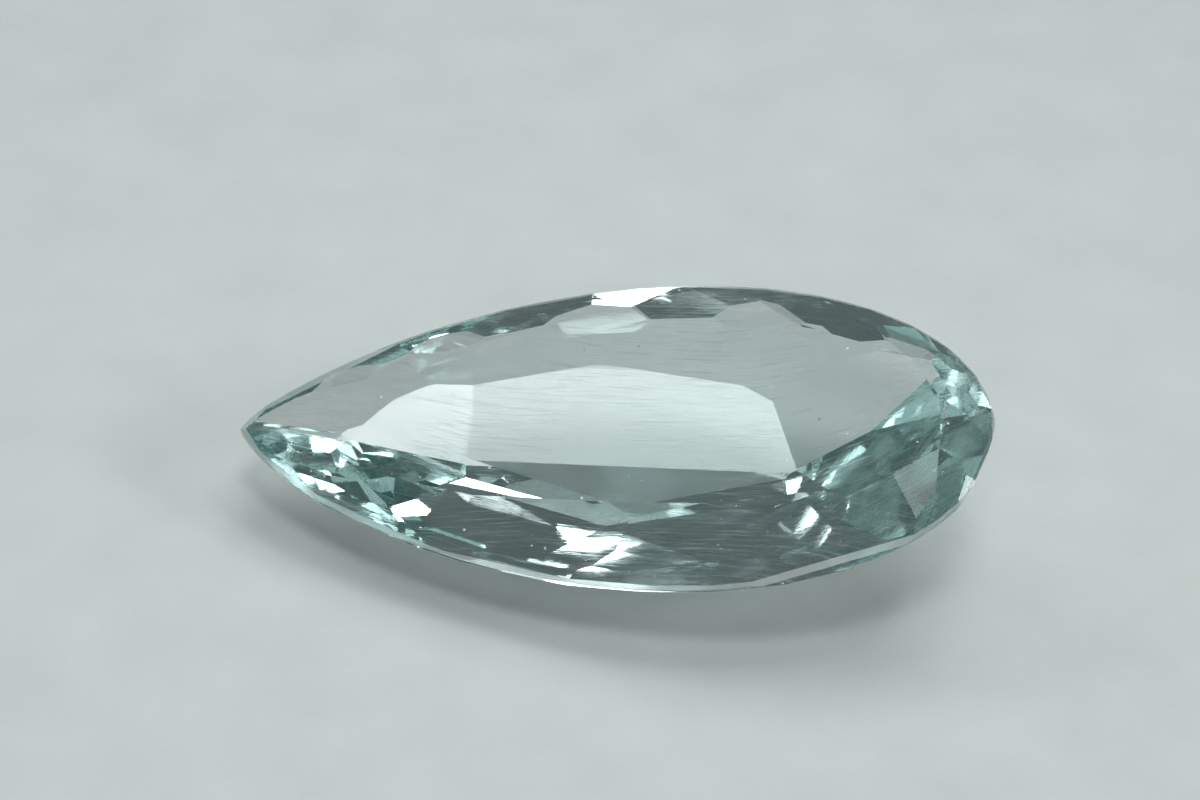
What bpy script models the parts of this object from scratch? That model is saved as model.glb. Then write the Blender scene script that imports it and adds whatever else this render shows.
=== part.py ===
# Pear-cut aquamarine, one solid with flat facets, lying at rest on a pavilion facet.
# Run with: blender --background --python part.py
import bpy
import bmesh
import numpy as np
from math import acos, atan2, cos, pi, radians, sin, tan
from mathutils import Matrix, Vector

# ---- driving dimensions, in millimetres and degrees --------------------------------------
# Cutting frame: +X runs from the point to the round end, +Z is up through the table,
# and the girdle plane is at height 0. Slopes are measured from the girdle plane.
stone_length = 30.0
half_width = 7.66
pear_power = 0.25           # 0 would give an ellipse; more pinches the point
girdle_facets = 52
girdle_bottom = -0.12       # where the lower facets start; the girdle is a thin band above it

table_height = 1.02         # above the girdle, over the middle of the stone
table_rise = 0.024          # the table climbs this much per millimetre of +X

# Edges of the hand-cut table, going round from the point: the way each edge faces, then a
# point (x, y) that it runs through.
table_edges = [
    (140.0, -8.50, 1.33),
    (103.0, -3.74, 3.70),
    (92.0, 2.40, 4.42),
    (84.0, 6.90, 4.31),
    (70.5, 10.10, 3.58),
    (34.0, 12.20, 2.03),
    (6.0, 13.05, -0.44),
    (-61.0, 12.36, -2.32),
    (-71.0, 10.10, -3.24),
    (-82.5, 6.25, -4.00),
    (-91.0, 2.00, -4.23),
    (-110.5, -4.90, -2.21),
]
tip_kite_station = -11.5    # the two kites beside the point, along X
narrowest_band = 1.9        # the crown band counts as no narrower than this
widest_band = 3.9           # and no wider than this

# How the crown falls away from the table to the girdle, by station along X. Its rows are
# counted from the girdle: 0 at the girdle, 1 the lozenges, 2 the kites; the stars follow as 3.
crown_rows = 3
crown_stations = [-15.0, -9.8, -4.0, 2.3, 8.0, 12.1, 15.0]
crown_step = [0.08, 0.085, 0.085, 0.075, 0.09, 0.12, 0.12]     # change of gradient, row to row

# Rows of facets from the girdle down to the keel facets, by station along X. The cutting is
# lopsided: on the far side (+Y) the rows are short and steep, on the near side wide and shallow.
pavilion_rows = 4
pavilion_stations = [-15.0, -11.0, -7.0, -3.0, 2.0, 6.0, 10.0, 13.0, 15.0]
far_side = {
    "step": 0.22,           # change of gradient, row to row
    "reach": [0.8, 1.2, 1.9, 2.6, 3.2, 3.3, 3.2, 3.0, 2.6],
    "depth": [0.9, 1.5, 2.4, 3.1, 3.6, 3.7, 3.6, 3.4, 3.0],
}
near_side = {
    "step": 0.15,
    "reach": [0.8, 1.4, 2.8, 4.8, 6.0, 6.0, 5.2, 4.2, 3.2],
    "depth": [0.6, 1.2, 2.25, 3.4, 4.3, 4.85, 4.3, 3.7, 3.0],
}

# Large facets that meet in the keel: azimuth, slope and a point (x, depth) of the keel.
keel_facets = [
    (-145.0, 28.0, -6.0, 3.97),
    (-115.0, 16.0, 0.0, 4.70),
    (-52.0, 32.0, 6.8, 5.52),
    (-14.0, 36.0, 7.6, 5.10),
    (150.0, 25.0, -6.0, 3.97),
    (118.0, 15.0, 0.0, 4.70),
    (46.0, 33.0, 6.4, 5.95),
    (14.0, 36.0, 7.6, 5.60),
]
rest_facet = keel_facets[1][:2]      # azimuth and slope of the one that the stone lies on

# Fineness of the working.
block_size = 66.0           # the block that the stone is cut from
point_turn = 0.05           # the outline is followed no nearer to the point than this turn
outline_samples = 3000
cut_tolerance = 1e-5
merge_distance = 0.004      # corners closer than this are one corner

colour = (0.50, 0.78, 0.76, 1.0)
refractive_index = 1.577


def turn_at(station, side):
    """Turn around the girdle, 0 at the point and pi at the round end, for a station along X."""
    turn = acos(max(-1.0, min(1.0, -2 * station / stone_length)))
    return turn if side > 0 else 2 * pi - turn


def widest_swell():
    """Largest value of sin(t) * (1 - cos(t)) ** pear_power, so that half_width comes out right."""
    turn = acos(-pear_power / (1 + pear_power))
    return sin(turn) * (1 - cos(turn)) ** pear_power


def girdle_at(turn):
    """Point of the girdle and its outward normal at a turn."""
    side = 1 if turn <= pi else -1
    turn = turn if turn <= pi else 2 * pi - turn
    turn = max(turn, point_turn)
    swell = (1 - cos(turn)) ** pear_power
    width = half_width / widest_swell()
    point = np.array([-stone_length / 2 * cos(turn), side * width * sin(turn) * swell])
    along_x = stone_length / 2 * sin(turn)
    along_y = width * (
        cos(turn) * swell + pear_power * sin(turn) ** 2 * (1 - cos(turn)) ** (pear_power - 1))
    normal = np.array([-along_y, side * along_x])
    return point, normal / np.linalg.norm(normal)


def nearest_girdle(point):
    """Turn of the girdle point nearest to a point of the plan, and how far away it is."""
    turns = np.linspace(point_turn, 2 * pi - point_turn, outline_samples)
    gaps = [np.linalg.norm(girdle_at(turn)[0] - point) for turn in turns]
    nearest = int(np.argmin(gaps))
    return turns[nearest], gaps[nearest]


def heading(azimuth):
    return np.array([cos(radians(azimuth)), sin(radians(azimuth))])


def table_at(x):
    return table_height + table_rise * x


def table_gap(point, inward):
    """Distance from a girdle point to the table's edge, going inward."""
    gaps = []
    for azimuth, x, y in table_edges:
        facing = heading(azimuth)
        approach = -inward @ facing
        if approach > 0:
            gaps.append(facing @ (point - np.array([x, y])) / approach)
    return min(widest_band, max(gaps))


def crown_gradient(point, row):
    """How steeply a row of the crown falls at a point of the table's edge."""
    gap = min(widest_band, max(narrowest_band, nearest_girdle(point)[1]))
    step = np.interp(point[0], crown_stations, crown_step)
    return table_at(point[0]) / gap + (crown_rows / 2 - row) * step


def between(values):
    """Midway values of a sorted list."""
    return [(low + high) / 2 for low, high in zip(values[:-1], values[1:])]


# A cut is (outward normal, a point on the facet).
def falling(heading_2d, gradient, point, height, climb):
    """Upper facet that falls away along a heading; climb is added along +X."""
    normal = Vector((heading_2d[0] * gradient - climb, heading_2d[1] * gradient, 1.0))
    return normal.normalized(), Vector((point[0], point[1], height))


def rising(heading_2d, gradient, point, height):
    """Lower facet that climbs along a heading."""
    normal = Vector((heading_2d[0] * gradient, heading_2d[1] * gradient, -1.0))
    return normal.normalized(), Vector((point[0], point[1], height))


def table_corners():
    corners = []
    for here, there in zip(table_edges, table_edges[1:]):
        sides = np.array([heading(here[0]), heading(there[0])])
        reach = np.array([sides[0] @ np.array(here[1:3]), sides[1] @ np.array(there[1:3])])
        corners.append(np.linalg.solve(sides, reach))
    return corners


def crown_row(turns, row):
    """Upper facets that share one row."""
    cuts = []
    for turn in turns:
        point, normal = girdle_at(turn)
        gap = table_gap(point, -normal)
        step = np.interp(point[0], crown_stations, crown_step)
        steepest = table_at(point[0] - normal[0] * gap) / gap + crown_rows / 2 * step
        start = 0.5 * row * row * step * gap / crown_rows
        climb = table_rise * row / crown_rows
        cuts.append(falling(normal, steepest - row * step, point, start, climb))
    return cuts


def crown_cuts():
    corners = table_corners()
    cuts = [falling(heading(0), 0.0, (0.0, 0.0), table_height, table_rise)]
    for azimuth, x, y in table_edges:
        gradient = crown_gradient((x, y), 3)
        cuts.append(falling(heading(azimuth), gradient, (x, y), table_at(x), table_rise))
    for here, there, corner in zip(table_edges, table_edges[1:], corners):
        midway = heading((here[0] + there[0]) / 2)
        gradient = crown_gradient(corner, 2)
        cuts.append(falling(midway, gradient, corner, table_at(corner[0]), table_rise))
    by_point = [turn_at(tip_kite_station, side) for side in (1, -1)]
    kites = sorted(by_point + [nearest_girdle(corner)[0] for corner in corners] + [0.0, 2 * pi])
    lozenges = between(kites)
    cuts += crown_row(by_point, 2)
    cuts += crown_row(lozenges, 1)
    cuts += crown_row(between(sorted(kites + lozenges)), 0)
    return cuts, kites, lozenges


def pavilion_cut(turn, row):
    """One facet of a row below the girdle."""
    side = far_side if turn < pi else near_side
    point, normal = girdle_at(turn)
    reach = np.interp(point[0], pavilion_stations, side["reach"])
    depth = np.interp(point[0], pavilion_stations, side["depth"])
    steepest = depth / reach + side["step"] * pavilion_rows / 2
    start = girdle_bottom - 0.5 * row * row * side["step"] * reach / pavilion_rows
    return rising(normal, steepest - row * side["step"], point, start)


def pavilion_cuts(kites, lozenges):
    cuts = []
    rows = [between(sorted(kites + lozenges)), lozenges, kites[1:-1], lozenges]
    for row, turns in enumerate(rows):
        cuts += [pavilion_cut(turn, row) for turn in turns]
    for azimuth, slope, x, depth in keel_facets:
        cuts.append(rising(heading(azimuth), tan(radians(slope)), (x, 0.0), -depth))
    return cuts


def girdle_cuts():
    cuts = []
    for index in range(girdle_facets):
        point, normal = girdle_at(2 * pi * (index + 0.5) / girdle_facets)
        cuts.append((Vector((normal[0], normal[1], 0.0)), Vector((point[0], point[1], 0.0))))
    return cuts


def cut_stone(cuts):
    """Cut a block down to the stone, one flat facet at a time."""
    stone = bmesh.new()
    bmesh.ops.create_cube(stone, size=block_size)
    for normal, point in cuts:
        everything = stone.verts[:] + stone.edges[:] + stone.faces[:]
        result = bmesh.ops.bisect_plane(
            stone, geom=everything, dist=cut_tolerance, plane_co=point, plane_no=normal,
            clear_outer=True)
        rim = [item for item in result["geom_cut"] if isinstance(item, bmesh.types.BMEdge)]
        if rim:
            bmesh.ops.contextual_create(stone, geom=rim)
    bmesh.ops.remove_doubles(stone, verts=stone.verts[:], dist=merge_distance)
    bmesh.ops.dissolve_degenerate(stone, edges=stone.edges[:], dist=merge_distance)
    bmesh.ops.recalc_face_normals(stone, faces=stone.faces[:])
    return stone


def lay_down(stone):
    """Turn the stone so that its rest facet is level, and put the middle of its footprint at 0."""
    azimuth, slope = rest_facet
    down = Vector((*(heading(azimuth) * sin(radians(slope))), -cos(radians(slope))))
    level = down.rotation_difference(Vector((0.0, 0.0, -1.0))).to_matrix()
    long_axis = level @ Vector((1.0, 0.0, 0.0))
    square = Matrix.Rotation(-atan2(long_axis.y, long_axis.x), 3, "Z")
    bmesh.ops.transform(stone, matrix=(square @ level).to_4x4(), verts=stone.verts[:])
    lowest = [min(vert.co[axis] for vert in stone.verts) for axis in range(3)]
    highest = [max(vert.co[axis] for vert in stone.verts) for axis in range(3)]
    middle = Vector(((lowest[0] + highest[0]) / 2, (lowest[1] + highest[1]) / 2, lowest[2]))
    bmesh.ops.translate(stone, vec=-middle, verts=stone.verts[:])
    bmesh.ops.scale(stone, vec=(0.001, 0.001, 0.001), verts=stone.verts[:])


def aquamarine():
    material = bpy.data.materials.new("aquamarine")
    material.use_nodes = True
    shader = material.node_tree.nodes["Principled BSDF"]
    shader.inputs["Base Color"].default_value = colour
    shader.inputs["Roughness"].default_value = 0.03
    shader.inputs["Metallic"].default_value = 0.0
    shader.inputs["IOR"].default_value = refractive_index
    shader.inputs["Transmission Weight"].default_value = 1.0
    material.diffuse_color = colour
    return material


def build():
    for thing in list(bpy.data.objects):
        bpy.data.objects.remove(thing)
    crown, kites, lozenges = crown_cuts()
    stone = cut_stone(girdle_cuts() + crown + pavilion_cuts(kites, lozenges))
    lay_down(stone)
    mesh = bpy.data.meshes.new("aquamarine")
    stone.to_mesh(mesh)
    stone.free()
    mesh.materials.append(aquamarine())
    gem = bpy.data.objects.new("aquamarine", mesh)
    bpy.context.scene.collection.objects.link(gem)


build()
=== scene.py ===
# Aquamarine, pear cut: a loose faceted stone lying on pale paper.
import bpy
import math
from mathutils import Matrix, Vector

mm = 0.001
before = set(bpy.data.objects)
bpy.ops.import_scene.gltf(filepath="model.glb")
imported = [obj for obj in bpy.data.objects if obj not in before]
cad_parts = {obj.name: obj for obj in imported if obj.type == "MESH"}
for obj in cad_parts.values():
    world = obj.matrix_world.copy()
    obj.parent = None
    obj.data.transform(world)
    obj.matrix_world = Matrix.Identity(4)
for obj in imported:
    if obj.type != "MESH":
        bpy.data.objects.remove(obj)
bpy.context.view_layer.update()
print("frame loaded:", ", ".join(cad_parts))


def hexColour(code):
    # sRGB hex to the linear values that the shaders work in
    channels = [int(code[i:i + 2], 16) / 255 for i in (1, 3, 5)]
    return [c / 12.92 if c <= 0.04045 else ((c + 0.055) / 1.055) ** 2.4 for c in channels] + [1.0]


def addNode(tree, kind, settings=None, links=None):
    # settings: attributes of the node, or values of its inputs; links: sockets by input
    node = tree.nodes.new(kind)
    for name, value in (settings or {}).items():
        if isinstance(name, int) or name in node.inputs:
            node.inputs[name].default_value = value
        else:
            setattr(node, name, value)
    for name, socket in (links or {}).items():
        tree.links.new(socket, node.inputs[name])
    return node


def newMaterial(name):
    made = bpy.data.materials.new(name)
    made.use_nodes = True
    made.node_tree.nodes.clear()
    return made, made.node_tree


# the stone; lengths in mm
stone = {
    "ior": 1.577,                               # beryl
    "absorbColour": "#8fd6d2",
    "absorbDensity": 32.0,                      # per metre
    "girdleUp": (-0.1127, -0.2515, 0.9613),     # the way the girdle plane faces, as the stone lies
    "girdleHeight": 4.35,                       # how far the girdle plane is along that direction
    "girdleBand": 0.07,                         # half the ground band
    "groundColour": "#eef6f5",
    "groundRoughness": 0.35,
    "groundClear": 0.75,                        # how much light the ground band lets in
    "scratchAlong": 3.0,                        # spacing of the polishing lines along, across and down;
    "scratchAcross": 0.06,                      # real ones are finer, and this is the finest that shows
    "scratchDown": 5.0,
    "scratchTurn": -15.0,                       # degrees
    "scratchDetail": (3.0, 0.7),                # octaves, and how strong each is
    "scratchRange": (0.54, 0.66),               # noise levels where a line starts and is full
    "scratchWhite": 0.22,                       # how much a full line scatters
    "scratchDepth": 0.02,
    "scratchStrength": 0.015,
    "wornSize": 6.25,                           # patches that carry most of the lines
    "wornRange": (0.42, 0.6),
    "speckSpacing": 0.55,                       # cells that can hold a speck of dust or a nick
    "speckShare": 0.11,                         # how much of a cell a speck can fill
    "speckChoice": 0.86,                        # the share of cells left clean
    "nickColour": "#f2f7f6",
    "nickMost": 0.9,
}


def makeStoneMaterial():
    # Beryl, cut and polished: glassy, clear, blue-green where light travels a long way in it,
    # with fine polishing lines, a ground girdle and a few bright nicks
    made, tree = newMaterial("aquamarinePolished")
    out = addNode(tree, "ShaderNodeOutputMaterial")
    place = addNode(tree, "ShaderNodeTexCoord").outputs["Object"]

    # polishing lines, much longer than they are wide, on worn patches
    spacing = [1 / (stone[way] * mm) for way in ("scratchAlong", "scratchAcross", "scratchDown")]
    turned = addNode(tree, "ShaderNodeMapping", {
        "Rotation": (0.0, 0.0, math.radians(stone["scratchTurn"])), "Scale": spacing},
        {"Vector": place}).outputs[0]
    octaves, strength = stone["scratchDetail"]
    lines = addNode(tree, "ShaderNodeTexNoise", {"Scale": 1.0, "Detail": octaves, "Roughness": strength},
                    {"Vector": turned}).outputs[0]
    lineStart, lineFull = stone["scratchRange"]
    fineLines = addNode(tree, "ShaderNodeMapRange", {"From Min": lineStart, "From Max": lineFull},
                        {"Value": lines}).outputs[0]
    worn = addNode(tree, "ShaderNodeTexNoise", {"Scale": 1 / (stone["wornSize"] * mm), "Detail": 2.0},
                   {"Vector": place}).outputs[0]
    wornStart, wornFull = stone["wornRange"]
    wornPatch = addNode(tree, "ShaderNodeMapRange", {"From Min": wornStart, "From Max": wornFull},
                        {"Value": worn}).outputs[0]
    scratched = addNode(tree, "ShaderNodeMath", {"operation": "MULTIPLY"},
                        {0: fineLines, 1: wornPatch}).outputs[0]

    # specks: dust and nicks, each a small blot inside its own cell
    cells = addNode(tree, "ShaderNodeTexVoronoi", {
        "Scale": 1 / (stone["speckSpacing"] * mm), "Randomness": 1.0}, {"Vector": place})
    blot = addNode(tree, "ShaderNodeMapRange", {
        "From Min": stone["speckShare"], "From Max": stone["speckShare"] * 0.5},
        {"Value": cells.outputs["Distance"]}).outputs[0]
    drawn = addNode(tree, "ShaderNodeSeparateColor", None, {"Color": cells.outputs["Color"]}).outputs[0]
    chosen = addNode(tree, "ShaderNodeMath", {"operation": "GREATER_THAN", 1: stone["speckChoice"]},
                     {0: drawn}).outputs[0]
    specks = addNode(tree, "ShaderNodeMath", {"operation": "MULTIPLY"}, {0: blot, 1: chosen}).outputs[0]

    # the ground band of the girdle
    level = addNode(tree, "ShaderNodeVectorMath", {"operation": "DOT_PRODUCT", 1: stone["girdleUp"]},
                    {0: place}).outputs["Value"]
    levelMm = addNode(tree, "ShaderNodeMath", {"operation": "DIVIDE", 1: mm}, {0: level}).outputs[0]
    fromGirdle = addNode(tree, "ShaderNodeMath", {"operation": "SUBTRACT", 1: stone["girdleHeight"]},
                         {0: levelMm}).outputs[0]
    gap = addNode(tree, "ShaderNodeMath", {"operation": "ABSOLUTE"}, {0: fromGirdle}).outputs[0]
    girdle = addNode(tree, "ShaderNodeMath", {"operation": "LESS_THAN", 1: stone["girdleBand"]},
                     {0: gap}).outputs[0]

    bump = addNode(tree, "ShaderNodeBump", {
        "Strength": stone["scratchStrength"], "Distance": stone["scratchDepth"] * mm},
        {"Height": scratched}).outputs[0]
    polished = addNode(tree, "ShaderNodeBsdfPrincipled", {
        "Base Color": hexColour("#ffffff"), "Roughness": 0.0, "IOR": stone["ior"],
        "Transmission Weight": 1.0}, {"Normal": bump})
    ground = addNode(tree, "ShaderNodeBsdfPrincipled", {
        "Base Color": hexColour(stone["groundColour"]), "Roughness": stone["groundRoughness"],
        "IOR": stone["ior"], "Transmission Weight": stone["groundClear"]})
    nick = addNode(tree, "ShaderNodeBsdfDiffuse", {"Color": hexColour(stone["nickColour"])})
    withGirdle = addNode(tree, "ShaderNodeMixShader", None,
                         {0: girdle, 1: polished.outputs[0], 2: ground.outputs[0]})
    marks = addNode(tree, "ShaderNodeMath", {"operation": "MULTIPLY_ADD", 1: stone["scratchWhite"]},
                    {0: scratched, 2: specks})
    marksHeld = addNode(tree, "ShaderNodeMath", {"operation": "MINIMUM", 1: stone["nickMost"]},
                        {0: marks.outputs[0]})
    surface = addNode(tree, "ShaderNodeMixShader", None,
                      {0: marksHeld.outputs[0], 1: withGirdle.outputs[0], 2: nick.outputs[0]})
    inside = addNode(tree, "ShaderNodeVolumeAbsorption", {
        "Color": hexColour(stone["absorbColour"]), "Density": stone["absorbDensity"]})
    tree.links.new(surface.outputs[0], out.inputs["Surface"])
    tree.links.new(inside.outputs[0], out.inputs["Volume"])
    return made


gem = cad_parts["aquamarine"]
gem.data.materials.clear()
gem.data.materials.append(makeStoneMaterial())
print("stone dressed")

# the paper it lies on; lengths in mm unless they say otherwise
paper = {
    "size": 1.6,            # m
    "drop": 0.02,           # under the stone, so that the two surfaces never coincide
    "colour": "#ced7d5",
    "shade": "#c7d0ce",
    "fibre": 0.18,          # spacing of the fibres, coarser than real ones so that they show
    "cloud": 4.0,           # spacing of the thicker and thinner places
    "cloudRange": (0.5, 1.0),
    "toothStrength": 0.25,
    "toothDepth": 0.02,
    "roughness": 0.9,
}


def makePaper():
    mesh = bpy.data.meshes.new("paperSheet")
    half, low = paper["size"] / 2, -paper["drop"] * mm
    corners = [(-half, -half, low), (half, -half, low), (half, half, low), (-half, half, low)]
    mesh.from_pydata(corners, [], [(0, 1, 2, 3)])
    made = bpy.data.objects.new("paperSheet", mesh)
    bpy.context.scene.collection.objects.link(made)
    # Uncoated paper: matt, pale grey-green, faintly clouded, with the tooth of its fibres
    material, tree = newMaterial("uncoatedPaper")
    out = addNode(tree, "ShaderNodeOutputMaterial")
    place = addNode(tree, "ShaderNodeTexCoord").outputs["Object"]
    fibres = addNode(tree, "ShaderNodeTexNoise", {
        "Scale": 1 / (paper["fibre"] * mm), "Detail": 3.0, "Roughness": 0.6},
        {"Vector": place}).outputs[0]
    clouds = addNode(tree, "ShaderNodeTexNoise", {
        "Scale": 1 / (paper["cloud"] * mm), "Detail": 2.0}, {"Vector": place}).outputs[0]
    blend = addNode(tree, "ShaderNodeMath", {"operation": "MULTIPLY_ADD", 1: 0.5},
                    {0: fibres, 2: clouds}).outputs[0]
    lightest, darkest = paper["cloudRange"]
    shade = addNode(tree, "ShaderNodeMapRange", {"From Min": lightest, "From Max": darkest},
                    {"Value": blend}).outputs[0]
    colour = addNode(tree, "ShaderNodeMix", {
        "data_type": "RGBA", 6: hexColour(paper["colour"]), 7: hexColour(paper["shade"])},
        {0: shade}).outputs[2]
    tooth = addNode(tree, "ShaderNodeBump", {
        "Strength": paper["toothStrength"], "Distance": paper["toothDepth"] * mm},
        {"Height": fibres}).outputs[0]
    body = addNode(tree, "ShaderNodeBsdfPrincipled", {"Roughness": paper["roughness"]},
                   {"Base Color": colour, "Normal": tooth})
    tree.links.new(body.outputs[0], out.inputs["Surface"])
    mesh.materials.append(material)
    return made


makePaper()
print("paper laid")

# the camera; lengths in mm
shot = {
    "back": (0.1083, -0.7954, 0.5963),      # from the stone towards the camera
    "up": (-0.1048, 0.5874, 0.8025),
    "centre": (-0.62, 0.69, 5.58),          # middle of the picture
    "distance": 230.0,
    "width": 47.04,                         # across the picture at the stone
    "sensor": 36.0,
    "clipStart": 10.0,
}


def makeCamera():
    back = Vector(shot["back"]).normalized()
    right = Vector(shot["up"]).cross(back).normalized()
    up = back.cross(right)
    turn = Matrix((right, up, back)).transposed()
    data = bpy.data.cameras.new("camera")
    data.sensor_width = shot["sensor"]
    data.lens = shot["sensor"] * shot["distance"] / shot["width"]
    data.clip_start = shot["clipStart"] * mm
    made = bpy.data.objects.new("camera", data)
    centre = Vector(shot["centre"]) + back * shot["distance"]
    made.matrix_world = Matrix.Translation(centre * mm) @ turn.to_4x4()
    bpy.context.scene.collection.objects.link(made)
    bpy.context.scene.camera = made


# bearing from straight in front (degrees, + to the right), height above the paper, how wide
# the lamp looks from the stone, and how bright the middle of its face is
lamps = {
    "softboxTop": (24, 73, 26, 12.5),       # fills the middle of the table's window
    "softboxFront": (6, 38, 34, 4.0),
    "softboxLeft": (-125, 38, 24, 7.0),     # brightens the far facets by the point
    "softboxRight": (85, 24, 20, 20.0),     # reaches the window's left end
    "rimRight": (124, 60, 13, 12.0),
    "rimBehind": (173, 40, 13, 12.0),
    "skylight": (172, 60, 54, 3.6),
}
lampDistance = 0.6              # m
gridOpening = 1.05              # of the angle that the lamp's own rim makes
paperOnlyLamp = "skylight"      # the stone neither shows it nor passes its light on


def makeLamps():
    for name, (bearing, height, width, brightness) in lamps.items():
        data = bpy.data.lights.new(name, "AREA")
        data.shape = "DISK"
        data.size = 2 * lampDistance * math.tan(math.radians(width / 2))
        # a grid in front of each lamp lets its face fade out towards the rim
        half = math.radians(width / 2) * gridOpening
        data.spread = 2 * half
        # a disk of area a and brightness b gives off pi * a * b, less what the grid holds back
        area = math.pi * (data.size / 2) ** 2
        data.energy = math.pi * area * brightness * (1 - half / math.tan(half))
        data.color = hexColour("#ffffff")[:3]
        around = Matrix.Rotation(math.radians(bearing), 3, "Z")
        towards = around @ Matrix.Rotation(math.radians(-height), 3, "X") @ Vector((0.0, -1.0, 0.0))
        made = bpy.data.objects.new(name, data)
        made.location = towards * lampDistance
        made.rotation_euler = (-towards).to_track_quat("-Z", "Y").to_euler()
        made.visible_glossy = made.visible_transmission = name != paperOnlyLamp
        bpy.context.scene.collection.objects.link(made)


room = {"colour": "#b8c4c4", "strength": 0.24}


def makeRoom():
    world = bpy.data.worlds.new("room")
    world.use_nodes = True
    background = world.node_tree.nodes["Background"]
    background.inputs["Color"].default_value = hexColour(room["colour"])
    background.inputs["Strength"].default_value = room["strength"]
    bpy.context.scene.world = world


makeCamera()
makeLamps()
makeRoom()

# light goes round many facets before it leaves the stone
lightTurns = 24
scene = bpy.context.scene
scene.view_settings.view_transform = "Standard"
scene.cycles.max_bounces = lightTurns
scene.cycles.transmission_bounces = lightTurns
scene.cycles.glossy_bounces = lightTurns
scene.cycles.sample_clamp_indirect = 0
print("camera and light placed")
